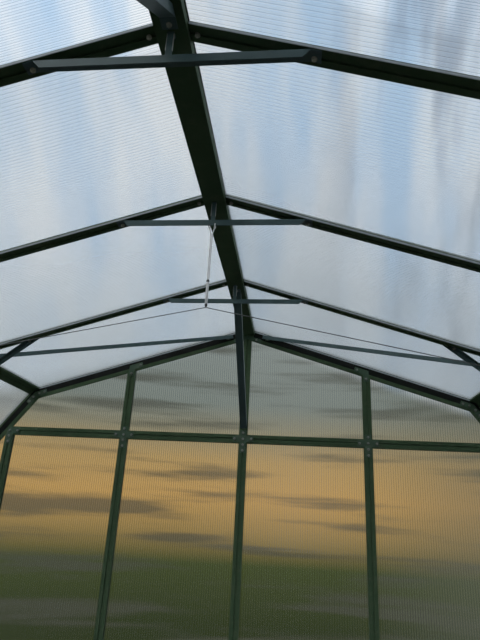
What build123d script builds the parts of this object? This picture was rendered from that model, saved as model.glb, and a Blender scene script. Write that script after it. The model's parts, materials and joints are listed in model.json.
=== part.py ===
from build123d import *
import os
from math import cos, radians, sin, tan

# Driving dimensions of the house, in millimetres and degrees.
gable_modules = 5
stud_spacing = 610.0
roof_bays = 4
rafter_spacing = 622.0
rail_height = 1790.0
ridge_rise = 571.0
roof_pitch = 17.55
knee_inset = 374.0
lower_pitch = 53.9

# The glazing bar, from its inner face outward: channel, sheet, outer cap.
bar_width = 42.0
bar_depth = 10.0
sheet_thickness = 8.0
cap_thickness = 3.0
cap_width = 20.0
fin_width = 8.0
groove_width = 8.0
groove_depth = 4.0
sheet_clearance = 1.0

# The bars round each gable, measured in from the roof's inner line.
edge_flange = 47.0
edge_lip = 35.0
edge_rebate = 10.0
edge_wall = 3.0

# Ridge, knee, eave and base.
ridge_half_width = 34.0
ridge_hang = 25.0
ridge_fin_half = 12.0
ridge_cap_half = 35.0
purlin_leg = 28.0
base_height = 60.0
base_width = 44.0
base_lip = 15.0

# Braces and ties of rolled angle.
angle_leg = 20.0
angle_thickness = 2.0
tie_drop = 90.0
tie_top_leg = 30.0
tie_tab = 22.0
tie_end_cut = 17.0
strut_width = 14.0
strut_thickness = 3.0
strut_foot = 16.0
knee_brace_upper_reach = 245.0
knee_brace_lower_reach = 210.0
roof_brace_start = 80.0
gable_brace_width = 33.0
gable_brace_setback = 50.0
gable_brace_foot = 52.0
gable_brace_tab = 26.0

# Sliding doors of the front gable, hung outside it and parked open.
door_frame = 40.0
door_thickness = 16.0
door_ground_gap = 20.0
door_head_gap = 14.0
door_park_gap = 8.0
door_midrail_height = 900.0
pane_grip = 10.0
track_depth = 25.0
track_wall = 3.0
track_drop = 16.0
track_overrun = 15.0
ledge_depth = 9.0
roller_radius = 9.0
roller_inset = 90.0
hanger_width = 30.0

# The tension wire across the middle frame and the cord that lifts it.
wire_diameter = 2.6
wire_rise = 189.0
wire_end_drop = 86.0
anchor_diameter = 9.0
anchor_length = 16.0
anchor_eye_drop = 10.0
cord_diameter = 3.0
bead_diameter = 8.0
bead_drop = 208.0
sleeve_diameter = 6.0
sleeve_length = 68.0

# Sizes that follow from those above.
sheet_top = bar_depth + sheet_thickness
skin = sheet_top + cap_thickness
edge_stop = sheet_top - edge_wall
house_width = gable_modules * stud_spacing
wall_x = house_width / 2 - skin
knee_half_span = wall_x - knee_inset
pitch = radians(roof_pitch)
lower = radians(lower_pitch)
apex_height = rail_height + ridge_rise
house_length = roof_bays * rafter_spacing
door_reach = skin + track_depth
rear_face = (house_length + door_reach - skin) / 2
front_face = rear_face - house_length
frame_places = [front_face + n * rafter_spacing for n in range(1, roof_bays)]
middle_frame = frame_places[len(frame_places) // 2]
ridge_under = apex_height - ridge_hang
tie_top = apex_height - tie_drop
SIDES = {"left": -1, "right": 1}

os.makedirs("parts", exist_ok=True)


def save(piece, name):
    """Labels a finished piece and writes its file."""
    piece.part.label = name
    export_step(piece.part, f"parts/{name}.step")


# The house's outline on its right half, as lines at a distance out from the inner faces.
def roof_z(x, out):
    """Height of the upper roof line over x."""
    return apex_height + out / cos(pitch) - tan(pitch) * x


def lower_z(x, out):
    """Height of the lower roof line over x."""
    return knee_height + out / cos(lower) - tan(lower) * (x - knee_half_span)


knee_height = roof_z(knee_half_span, 0)


def ridge_point(out):
    return (0, roof_z(0, out))


def knee_point(out):
    shift = out * (1 / cos(lower) - 1 / cos(pitch)) / (tan(lower) - tan(pitch))
    return (knee_half_span + shift, roof_z(knee_half_span + shift, out))


def eave_point(out):
    return (wall_x + out, lower_z(wall_x + out, out))


def foot_point(out):
    return (wall_x + out, base_height)


def boundary_z(x, out):
    """Height of the outline over any x, the lower of its two slopes."""
    return min(roof_z(abs(x), out), lower_z(abs(x), out))


def along(start, direction, distance, normal, out):
    """A point a distance along a slope from a corner and a distance out from it."""
    return (
        start[0] + direction[0] * distance + normal[0] * out,
        start[1] + direction[1] * distance + normal[1] * out,
    )


UP_ROOF = (-cos(pitch), sin(pitch))
UP_LOWER = (-cos(lower), sin(lower))
DOWN_LOWER = (cos(lower), -sin(lower))
DOWN_WALL = (0, -1)
OUT_ROOF = (sin(pitch), cos(pitch))
OUT_LOWER = (sin(lower), cos(lower))
OUT_WALL = (1, 0)
KNEE = (knee_point, UP_ROOF, OUT_ROOF, DOWN_LOWER, OUT_LOWER)
EAVE = (eave_point, UP_LOWER, OUT_LOWER, DOWN_WALL, OUT_WALL)


def bent_strip(corner, reach, inner, outer):
    """The outline of a strip that wraps a corner of the house between two depths."""
    point, up, up_out, down, down_out = corner
    middle = point(0)
    return [
        along(middle, up, reach, up_out, inner),
        point(inner),
        along(middle, down, reach, down_out, inner),
        along(middle, down, reach, down_out, outer),
        point(outer),
        along(middle, up, reach, up_out, outer),
    ]


def slab(points, side, y_from, y_to, mode=Mode.ADD):
    """Adds a slab of an upright outline across the house to the piece in hand."""
    with BuildSketch(Plane.XZ.offset(-y_from)) as upright:
        with BuildLine():
            Polyline(*[(side * x, z) for x, z in points], close=True)
        make_face()
    extrude(upright.sketch, amount=y_to - y_from, dir=(0, 1, 0), mode=mode)


def box_points(left, right, bottom, top):
    """The corners of an upright rectangle."""
    return [(left, bottom), (right, bottom), (right, top), (left, top)]


# Base rails: a plinth round the house that the posts and sheets stand on.
for name, side in SIDES.items():
    with BuildPart() as base_side:
        plinth = [
            (wall_x + skin - base_width, 0),
            (wall_x + skin, 0),
            (wall_x + skin, base_height + base_lip),
            (wall_x + sheet_top, base_height + base_lip),
            (wall_x + sheet_top, base_height),
            (wall_x + skin - base_width, base_height),
        ]
        slab(plinth, side, front_face, rear_face)
    save(base_side, f"base_rail_{name}")

for name, face, outward in (("rear", rear_face, 1), ("front", front_face, -1)):
    with BuildPart() as base_end:
        outer_half = wall_x + skin
        outer_block = box_points(-outer_half, outer_half, 0, base_height)
        slab(outer_block, 1, *sorted((face, face + outward * skin)))
        inner_half = outer_half - base_width
        inner_block = box_points(-inner_half, inner_half, 0, base_height)
        slab(inner_block, 1, *sorted((face - outward * (base_width - skin), face)))
    save(base_end, f"base_rail_{name}")


# Eave rails and knee purlins: bent channels along the whole house, with an outer cap.
for kind, corner in (("eave_rail", EAVE), ("knee_purlin", KNEE)):
    for name, side in SIDES.items():
        with BuildPart() as long_rail:
            slab(bent_strip(corner, purlin_leg, 0, bar_depth), side, front_face, rear_face)
            slab(bent_strip(corner, fin_width / 2, bar_depth, sheet_top), side, front_face, rear_face)
            slab(bent_strip(corner, purlin_leg, sheet_top, skin), side, front_face, rear_face)
        save(long_rail, f"{kind}_{name}")


# Ridge beam: a broad box under the sheets and a folded cap over them.
with BuildPart() as ridge_beam:
    half_outline = [
        (ridge_half_width, ridge_under),
        (ridge_half_width, roof_z(ridge_half_width, bar_depth)),
        (ridge_fin_half, roof_z(ridge_fin_half, bar_depth)),
        (ridge_fin_half, roof_z(ridge_fin_half, sheet_top)),
        (ridge_cap_half, roof_z(ridge_cap_half, sheet_top)),
        (ridge_cap_half, roof_z(ridge_cap_half, skin)),
    ]
    other_half = [(-x, z) for x, z in reversed(half_outline)]
    slab(half_outline + [ridge_point(skin)] + other_half, 1, front_face, rear_face)
save(ridge_beam, "ridge_beam")


# Frame bars: a channel under the sheets, a fin between them and a narrow cap over them.
def frame_bar(outline, side):
    """Adds one bar at every frame; outline gives the bar's side view between two depths."""
    for place in frame_places:
        half = bar_width / 2
        slab(outline(0, bar_depth), side, place - half, place + half)
        slab(outline(bar_depth, sheet_top), side, place - fin_width / 2, place + fin_width / 2)
        slab(outline(sheet_top, skin), side, place - cap_width / 2, place + cap_width / 2)
        groove = outline(0, groove_depth)
        slab(groove, side, place - groove_width / 2, place + groove_width / 2, Mode.SUBTRACT)


def post_side(inner, outer):
    top = along(eave_point(0), DOWN_WALL, purlin_leg, OUT_WALL, 0)[1]
    foot = base_height + (base_lip if inner == sheet_top else 0)
    return box_points(wall_x + inner, wall_x + outer, foot, top)


def lower_rafter_side(inner, outer):
    return [
        along(eave_point(0), UP_LOWER, purlin_leg, OUT_LOWER, inner),
        along(eave_point(0), UP_LOWER, purlin_leg, OUT_LOWER, outer),
        along(knee_point(0), DOWN_LOWER, purlin_leg, OUT_LOWER, outer),
        along(knee_point(0), DOWN_LOWER, purlin_leg, OUT_LOWER, inner),
    ]


RIDGE_EDGE = {0: ridge_half_width, bar_depth: ridge_fin_half, sheet_top: ridge_cap_half}


def upper_rafter_side(inner, outer):
    start = RIDGE_EDGE[inner]
    return [
        (start, roof_z(start, inner)),
        along(knee_point(0), UP_ROOF, purlin_leg, OUT_ROOF, inner),
        along(knee_point(0), UP_ROOF, purlin_leg, OUT_ROOF, outer),
        (start, roof_z(start, outer)),
    ]


for kind, outline in (
    ("side_posts", post_side),
    ("lower_rafters", lower_rafter_side),
    ("upper_rafters", upper_rafter_side),
):
    for name, side in SIDES.items():
        with BuildPart() as bars:
            frame_bar(outline, side)
        save(bars, f"{kind}_{name}")


# Gable edges: bars that hold the gable's sheets on one side and the roof's end sheets on top.
EDGE_LAYERS = (
    (0, bar_depth, -edge_flange, bar_depth),
    (bar_depth, sheet_top, -edge_rebate, bar_depth),
    (edge_stop, sheet_top, bar_depth, sheet_top),
    (0, sheet_top, sheet_top, skin),
    (sheet_top, skin, -edge_lip, skin),
)
GABLES = {"rear": (rear_face, 1), "front": (front_face, -1)}


def gable_edge(start, end, side, face, outward):
    """Adds one mitred edge bar between two corners of the outline."""
    for near, far, inner, outer in EDGE_LAYERS:
        outline = [start(inner), end(inner), end(outer), start(outer)]
        slab(outline, side, *sorted((face + outward * near, face + outward * far)))


for gable, (face, outward) in GABLES.items():
    for name, side in SIDES.items():
        with BuildPart() as edge_bar:
            gable_edge(ridge_point, knee_point, side, face, outward)
        save(edge_bar, f"{gable}_gable_rafter_{name}")
    with BuildPart() as lower_edges:
        for side in SIDES.values():
            gable_edge(knee_point, eave_point, side, face, outward)
    save(lower_edges, f"{gable}_gable_lower_rafters")

with BuildPart() as corner_posts:
    for face, outward in GABLES.values():
        for side in SIDES.values():
            gable_edge(eave_point, foot_point, side, face, outward)
save(corner_posts, "corner_posts")


# Gable rails and studs: bars of the same section, with the rail across at head height.
GABLE_LAYERS = (
    (0, bar_depth, bar_width / 2, -edge_flange),
    (bar_depth, sheet_top, fin_width / 2, -edge_rebate),
    (sheet_top, skin, bar_width / 2, -edge_lip),
)


def lower_x(z, out):
    """Half width of the house inside the lower roof line at a height."""
    return knee_half_span + (knee_height + out / cos(lower) - z) / tan(lower)


def gable_rail(face, outward):
    for near, far, half, edge in GABLE_LAYERS:
        top, bottom = rail_height + half, rail_height - half
        outline = [
            (-lower_x(bottom, edge), bottom),
            (lower_x(bottom, edge), bottom),
            (lower_x(top, edge), top),
            (-lower_x(top, edge), top),
        ]
        slab(outline, 1, *sorted((face + outward * near, face + outward * far)))
    half = groove_width / 2
    reach = lower_x(rail_height + half, -edge_flange)
    groove = [(-reach, rail_height - half), (reach, rail_height - half)]
    groove += [(x, rail_height + half) for x, z in reversed(groove)]
    slab(groove, 1, *sorted((face, face + outward * groove_depth)), Mode.SUBTRACT)


def stud(x, face, outward, above_rail):
    """Adds one stud, from the base to the rail or from the rail to the roof's edge bar."""
    for near, far, half, edge in GABLE_LAYERS:
        bottom = rail_height + half if above_rail else base_height
        limit = apex_height if above_rail else rail_height - half
        tops = [(place, min(limit, boundary_z(place, edge))) for place in (x + half, x, x - half)]
        outline = [(x - half, bottom), (x + half, bottom)] + tops
        slab(outline, 1, *sorted((face + outward * near, face + outward * far)))
    half = groove_width / 2
    bottom = rail_height + bar_width / 2 if above_rail else base_height
    limit = apex_height if above_rail else rail_height - bar_width / 2
    top = min(limit, boundary_z(abs(x) + half, -edge_flange))
    groove = box_points(x - half, x + half, bottom, top)
    slab(groove, 1, *sorted((face, face + outward * groove_depth)), Mode.SUBTRACT)


outer_stud = gable_modules // 2
rear_studs = [n * stud_spacing for n in range(-outer_stud, outer_stud + 1)]
stud_places = {"rear": rear_studs, "front": [x for x in rear_studs if x != 0]}
upper_stud_places = [-stud_spacing, 0, stud_spacing]

for gable, (face, outward) in GABLES.items():
    with BuildPart() as rail:
        gable_rail(face, outward)
    save(rail, f"{gable}_gable_rail")
    with BuildPart() as studs:
        for x in stud_places[gable]:
            stud(x, face, outward, False)
        for x in upper_stud_places:
            stud(x, face, outward, True)
    save(studs, f"{gable}_gable_studs")


# Sheets of the roof and side walls: one a bay, held between the bars' fins.
sheet_hold = fin_width / 2 + sheet_clearance


def bay_spans():
    """The stretch of each bay along the house that a sheet fills."""
    ends = edge_stop - sheet_clearance
    starts = [front_face - ends] + [place + sheet_hold for place in frame_places]
    stops = [place - sheet_hold for place in frame_places] + [rear_face + ends]
    return list(zip(starts, stops))


def side_sheet(inner, outer):
    top = along(eave_point(0), DOWN_WALL, sheet_hold, OUT_WALL, 0)[1]
    return box_points(wall_x + inner, wall_x + outer, base_height, top)


def lower_roof_sheet(inner, outer):
    return [
        along(eave_point(0), UP_LOWER, sheet_hold, OUT_LOWER, inner),
        along(eave_point(0), UP_LOWER, sheet_hold, OUT_LOWER, outer),
        along(knee_point(0), DOWN_LOWER, sheet_hold, OUT_LOWER, outer),
        along(knee_point(0), DOWN_LOWER, sheet_hold, OUT_LOWER, inner),
    ]


def upper_roof_sheet(inner, outer):
    start = ridge_fin_half + sheet_clearance
    return [
        (start, roof_z(start, inner)),
        along(knee_point(0), UP_ROOF, sheet_hold, OUT_ROOF, inner),
        along(knee_point(0), UP_ROOF, sheet_hold, OUT_ROOF, outer),
        (start, roof_z(start, outer)),
    ]


for kind, outline in (
    ("side_glazing", side_sheet),
    ("lower_roof_glazing", lower_roof_sheet),
    ("upper_roof_glazing", upper_roof_sheet),
):
    for name, side in SIDES.items():
        with BuildPart() as sheets:
            for start, stop in bay_spans():
                slab(outline(bar_depth, sheet_top), side, start, stop)
        save(sheets, f"{kind}_{name}")


# Gable sheets: cut from the gable's outline, bay by bay, below and above the rail.
def gable_sheet(left, right, bottom, top, face, outward):
    edge = -edge_rebate - sheet_clearance
    half = [foot_point(edge), eave_point(edge), knee_point(edge)]
    outline = half + [ridge_point(edge)] + [(-x, z) for x, z in reversed(half)]
    near, far = sorted((face + outward * bar_depth, face + outward * sheet_top))
    with BuildSketch(Plane.XZ.offset(-near)) as pane:
        with BuildLine():
            Polyline(*outline, close=True)
        make_face()
        with Locations(((left + right) / 2, (bottom + top) / 2)):
            Rectangle(right - left, top - bottom, mode=Mode.INTERSECT)
    extrude(pane.sketch, amount=far - near, dir=(0, 1, 0))


def sheet_bays(places):
    """The stretches across the gable between stud fins, out to the edge bars."""
    starts = [-wall_x] + [x + sheet_hold for x in places]
    stops = [x - sheet_hold for x in places] + [wall_x]
    return list(zip(starts, stops))


for gable, (face, outward) in GABLES.items():
    with BuildPart() as panes:
        for left, right in sheet_bays(stud_places[gable]):
            doorway = gable == "front" and left < 0 < right
            if not doorway:
                gable_sheet(left, right, base_height, rail_height - sheet_hold, face, outward)
        for left, right in sheet_bays(upper_stud_places):
            gable_sheet(left, right, rail_height + sheet_hold, apex_height, face, outward)
    save(panes, f"{gable}_gable_glazing")


# Collar ties: angles under each pair of rafters, their top legs bent to bolt on below.
def tie_meet(depth):
    """Where a level line below the tie's top meets a line below the rafter."""
    return (ridge_rise - (tie_top - depth - rail_height) - depth / cos(pitch)) / tan(pitch)


with BuildPart() as collar_ties:
    tab_end = tie_meet(0) + tie_tab * cos(pitch)
    top_half = [
        (tab_end, roof_z(tab_end, -angle_thickness)),
        (tab_end, roof_z(tab_end, 0)),
        (tie_meet(0), tie_top),
    ]
    under_x = tie_meet(angle_thickness)
    under_z = tie_top - angle_thickness
    under = [(-under_x, under_z), (under_x, under_z)]
    top_leg = top_half + [(-x, z) for x, z in reversed(top_half)] + under
    leg_bottom = tie_top - angle_leg
    web_x = under_x - tie_end_cut
    web = [(web_x, leg_bottom), (-web_x, leg_bottom)] + under
    for place in frame_places:
        near = place - angle_leg
        slab(top_leg, 1, near, near + tie_top_leg)
        slab(web, 1, near, near + angle_thickness)
save(collar_ties, "collar_ties")


# King struts: short strap brackets between the ridge beam and each tie.
with BuildPart() as king_struts:
    half = strut_width / 2
    strap = box_points(-half, half, tie_top, ridge_under)
    foot = box_points(-half, half, tie_top, tie_top + strut_thickness)
    head = box_points(-half, half, ridge_under - strut_thickness, ridge_under)
    for place in frame_places:
        near = place - angle_leg + angle_thickness
        slab(strap, 1, near, near + strut_thickness)
        slab(foot, 1, near, near + strut_foot)
        slab(head, 1, near, near + strut_foot)
save(king_struts, "king_struts")


# Knee braces: angles across the inside of each knee, cut to seat on both bars.
def crossing(point, direction, height, slope):
    """Where a line through a point crosses the line z = height - slope * x."""
    run = (height - slope * point[0] - point[1]) / (direction[1] + slope * direction[0])
    return (point[0] + direction[0] * run, point[1] + direction[1] * run)


with BuildPart() as knee_braces:
    brace_top = knee_half_span - knee_brace_upper_reach
    brace_low = knee_half_span + knee_brace_lower_reach
    top_seat = (brace_top, roof_z(brace_top, 0))
    low_seat = (brace_low, lower_z(brace_low, 0))
    run = Vector(low_seat[0] - top_seat[0], low_seat[1] - top_seat[1]).normalized()
    direction = (run.X, run.Y)
    inward = (run.Y, -run.X)

    def brace_leg(width):
        inner = (top_seat[0] + inward[0] * width, top_seat[1] + inward[1] * width)
        return [
            top_seat,
            low_seat,
            crossing(inner, direction, lower_z(0, 0), tan(lower)),
            crossing(inner, direction, apex_height, tan(pitch)),
        ]

    for place in frame_places:
        for side in SIDES.values():
            slab(brace_leg(angle_thickness), side, place, place + angle_leg)
            slab(brace_leg(angle_leg), side, place + angle_leg - angle_thickness, place + angle_leg)
save(knee_braces, "knee_braces")


# Roof braces: angles under the upper roof of each end bay, from gable apex to first knee.
def roof_plane(side):
    """The inner face of one upper roof slope, with its x axis down the slope."""
    down_slope = (side * cos(pitch), 0, -sin(pitch))
    outward = (side * sin(pitch), 0, cos(pitch))
    return Plane(origin=(0, 0, apex_height), x_dir=down_slope, z_dir=outward)


with BuildPart() as roof_braces:
    knee_run = knee_half_span / cos(pitch)
    start_run = roof_brace_start / cos(pitch)
    for (face, outward), place in zip(GABLES.values(), (frame_places[-1], frame_places[0])):
        for side in SIDES.values():
            plane = roof_plane(side)
            flip = 1 if plane.y_dir.Y > 0 else -1
            line = Vector(knee_run - start_run, flip * (place - face)).normalized()
            across = Vector(-line.Y, line.X) * (flip * outward)
            for width, depth in ((angle_leg, angle_thickness), (angle_thickness, angle_leg)):
                with BuildSketch(plane):
                    start = Vector(start_run, flip * face)
                    end = Vector(knee_run, flip * place)
                    step = across * width
                    extra = line * angle_leg
                    with BuildLine():
                        Polyline(start - extra, end, end + step, start - extra + step, close=True)
                    make_face()
                    low, high = sorted((flip * face, flip * place))
                    with Locations((knee_run / 2, (low + high) / 2)):
                        Rectangle(knee_run, high - low, mode=Mode.INTERSECT)
                extrude(amount=-depth)
save(roof_braces, "roof_braces")


# Gable braces: wide angles from the ridge beam's underside to above the gable rail.
with BuildPart() as gable_braces:
    for (face, outward), place in zip(GABLES.values(), (frame_places[-1], frame_places[0])):
        head_y = place + outward * gable_brace_setback
        foot = Vector(face, rail_height + gable_brace_foot)
        head = Vector(head_y, ridge_under)
        slope = (head - foot).normalized()
        upward = Vector(-slope.Y, slope.X) * -outward
        for width, reach in ((gable_brace_width, angle_thickness), (angle_thickness, angle_leg)):
            rise = upward * reach
            head_end = head + rise - slope * (rise.Y / slope.Y)
            foot_end = foot + rise - slope * (rise.X / slope.X)
            with BuildSketch(Plane.YZ.offset(gable_brace_width / 2 - width)):
                with BuildLine():
                    Polyline(head, foot, foot_end, head_end, close=True)
                make_face()
            extrude(amount=width)
        tab_start = head_y + outward * angle_thickness
        tab_end = head_y - outward * gable_brace_tab
        tab = box_points(tab_start, tab_end, ridge_under - angle_thickness, ridge_under)
        with BuildSketch(Plane.YZ.offset(-gable_brace_width / 2)):
            with BuildLine():
                Polyline(*tab, close=True)
            make_face()
        extrude(amount=gable_brace_width)
save(gable_braces, "gable_braces")


# Door track: a hooded channel on the front gable rail, with a ledge for the rollers.
track_back = front_face - skin
track_top = rail_height + bar_width / 2
track_half = 2 * stud_spacing + track_overrun
ledge_top = rail_height - track_drop + track_wall
with BuildPart() as door_track:
    with BuildSketch(Plane.YZ.offset(-track_half)):
        with BuildLine():
            Polyline(
                (track_back, rail_height - track_drop),
                (track_back, track_top),
                (track_back - track_depth, track_top),
                (track_back - track_depth, rail_height),
                (track_back - track_depth + track_wall, rail_height),
                (track_back - track_depth + track_wall, track_top - track_wall),
                (track_back - track_wall, track_top - track_wall),
                (track_back - track_wall, ledge_top),
                (track_back - track_wall - ledge_depth, ledge_top),
                (track_back - track_wall - ledge_depth, rail_height - track_drop),
                close=True,
            )
        make_face()
    extrude(amount=2 * track_half)
save(door_track, "door_track")


# Door leaves: framed sheets hung on two rollers each, parked beside the doorway.
door_back = track_back - track_wall - sheet_clearance
door_front = door_back - door_thickness
door_left = stud_spacing + door_park_gap
door_right = 2 * stud_spacing + door_park_gap
door_bottom = door_ground_gap
door_top = rail_height - track_drop - door_head_gap
pane_back = door_back - (door_thickness - sheet_thickness) / 2
pane_front = pane_back - sheet_thickness
door_openings = (
    (door_bottom + door_frame, door_midrail_height - door_frame / 2),
    (door_midrail_height + door_frame / 2, door_top - door_frame),
)


def door_pane(low, high, grip):
    """The outline of a pane opening, grown by the grip of the frame round it."""
    left = door_left + door_frame - grip
    right = door_right - door_frame + grip
    return box_points(left, right, low - grip, high + grip)


for name, side in SIDES.items():
    with BuildPart() as door_leaf:
        slab(box_points(door_left, door_right, door_bottom, door_top), side, door_front, door_back)
        for low, high in door_openings:
            slab(door_pane(low, high, 0), side, door_front, door_back, Mode.SUBTRACT)
            slab(door_pane(low, high, pane_grip), side, pane_front, pane_back, Mode.SUBTRACT)
        hanger_back = track_back - track_wall - ledge_depth - sheet_clearance
        hanger_front = hanger_back - track_wall
        axle_height = ledge_top + roller_radius
        for x in (door_left + roller_inset, door_right - roller_inset):
            plate = box_points(x - hanger_width / 2, x + hanger_width / 2, door_top, axle_height)
            slab(plate, side, hanger_front, hanger_back)
            with BuildSketch(Plane.XZ.offset(-hanger_back)):
                with Locations((side * x, axle_height)):
                    Circle(roller_radius)
            extrude(amount=-(ledge_depth + sheet_clearance))
    save(door_leaf, f"door_leaf_{name}")

with BuildPart() as door_glazing:
    for side in SIDES.values():
        for low, high in door_openings:
            slab(door_pane(low, high, pane_grip), side, pane_front, pane_back)
save(door_glazing, "door_glazing")


# Tension wire: across the middle frame between eye anchors on the lower rafters.
wire_plane = middle_frame - angle_leg + angle_thickness / 2
wire_low = rail_height - wire_end_drop
wire_end = lower_x(wire_low, 0)
wire_peak = rail_height + wire_rise
with BuildPart() as tie_wire:
    for side in SIDES.values():
        seat = Vector(side * wire_end, wire_plane, wire_low)
        normal = Vector(side * sin(lower), 0, cos(lower))
        eye = seat - normal * anchor_eye_drop
        with BuildSketch(Plane(origin=seat, z_dir=-normal)):
            Circle(anchor_diameter / 2)
        extrude(amount=anchor_length)
        peak = Vector(0, wire_plane, wire_peak)
        with BuildSketch(Plane(origin=peak, z_dir=eye - peak)):
            Circle(wire_diameter / 2)
        extrude(amount=(eye - peak).length)
    with Locations((0, wire_plane, wire_peak)):
        Sphere(wire_diameter / 2)
save(tie_wire, "tie_wire")


# Wire hanger: a plumb cord with a bead, a sleeve and the end bead that lifts the wire.
hanger_top = tie_top - angle_leg
bead_height = tie_top - bead_drop
end_bead = wire_peak + wire_diameter / 2
with BuildPart() as wire_hanger:
    with BuildSketch(Plane.XY.offset(end_bead)):
        with Locations((0, wire_plane)):
            Circle(cord_diameter / 2)
    extrude(amount=hanger_top - end_bead)
    for height in (bead_height, end_bead + bead_diameter / 2):
        with Locations((0, wire_plane, height)):
            Sphere(bead_diameter / 2)
    with BuildSketch(Plane.XY.offset(bead_height - bead_diameter / 2 - sleeve_length)):
        with Locations((0, wire_plane)):
            Circle(sleeve_diameter / 2)
    extrude(amount=sleeve_length)
save(wire_hanger, "wire_hanger")
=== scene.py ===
import json
import math

import bmesh
import bpy
from mathutils import Matrix, Vector


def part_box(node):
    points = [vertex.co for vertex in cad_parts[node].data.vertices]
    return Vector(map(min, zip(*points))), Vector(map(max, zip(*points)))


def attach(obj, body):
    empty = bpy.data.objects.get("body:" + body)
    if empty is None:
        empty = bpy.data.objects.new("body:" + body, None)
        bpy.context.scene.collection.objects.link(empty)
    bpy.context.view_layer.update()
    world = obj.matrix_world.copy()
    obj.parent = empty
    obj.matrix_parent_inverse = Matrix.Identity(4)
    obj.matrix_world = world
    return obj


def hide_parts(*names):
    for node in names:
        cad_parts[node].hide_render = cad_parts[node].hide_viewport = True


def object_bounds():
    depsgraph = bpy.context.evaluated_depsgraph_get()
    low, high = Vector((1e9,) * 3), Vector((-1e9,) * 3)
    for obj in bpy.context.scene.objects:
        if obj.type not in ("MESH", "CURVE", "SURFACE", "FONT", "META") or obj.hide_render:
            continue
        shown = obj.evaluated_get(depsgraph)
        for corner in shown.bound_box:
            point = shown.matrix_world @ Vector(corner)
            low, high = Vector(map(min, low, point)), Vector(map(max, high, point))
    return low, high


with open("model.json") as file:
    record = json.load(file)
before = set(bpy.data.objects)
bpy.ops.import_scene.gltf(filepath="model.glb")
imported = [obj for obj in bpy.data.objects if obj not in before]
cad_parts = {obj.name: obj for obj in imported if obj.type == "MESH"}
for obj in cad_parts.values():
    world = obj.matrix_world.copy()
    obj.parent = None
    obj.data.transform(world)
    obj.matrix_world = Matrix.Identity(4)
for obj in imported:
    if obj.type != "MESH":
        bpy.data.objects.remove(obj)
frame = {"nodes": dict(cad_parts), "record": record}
cad_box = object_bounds()


# The camera stands just outside the open doorway at chest height and looks up along the
# ridge to the rear gable. Its place and turn come from fitting the bars to the photograph.
picture_height = 640
focal_pixels = 533.85
eye = Vector((0.2672, -1.4188, 1.4054))
look_left = math.radians(6.694)
look_up = math.radians(20.664)
tilt = math.radians(3.116)

camera_data = bpy.data.cameras.new("doorway_camera")
camera = bpy.data.objects.new("doorway_camera", camera_data)
bpy.context.scene.collection.objects.link(camera)
bpy.context.scene.camera = camera
camera_data.lens = focal_pixels / picture_height * camera_data.sensor_width
camera_data.clip_start = 0.01
heading = Vector((-math.sin(look_left), math.cos(look_left), 0))
ahead = heading * math.cos(look_up) + Vector((0, 0, math.sin(look_up)))
level = Vector((math.cos(look_left), math.sin(look_left), 0))
above = level.cross(ahead)
right = math.cos(tilt) * level + math.sin(tilt) * above
up = -math.sin(tilt) * level + math.cos(tilt) * above
turn = Matrix((right, up, -ahead)).transposed().to_4x4()
camera.matrix_world = Matrix.Translation(eye) @ turn


# The bars are extruded aluminium with a dark green powder coat, half matt and a little
# uneven in tone from end to end. Dust dulls it in patches, and edges are barely rounded.
class Link:
    """A value in a finish; sums and products of it add Math nodes."""

    def __init__(self, finish, socket):
        self.finish = finish
        self.socket = socket

    def math(self, operation, first, second):
        return self.finish.add("ShaderNodeMath", {"operation": operation}, {0: first, 1: second})

    def __add__(self, other):
        return self.math("ADD", self, other)

    def __rsub__(self, other):
        return self.math("SUBTRACT", other, self)

    def __mul__(self, other):
        return self.math("MULTIPLY", self, other)

    __radd__ = __add__
    __rmul__ = __mul__


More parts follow.
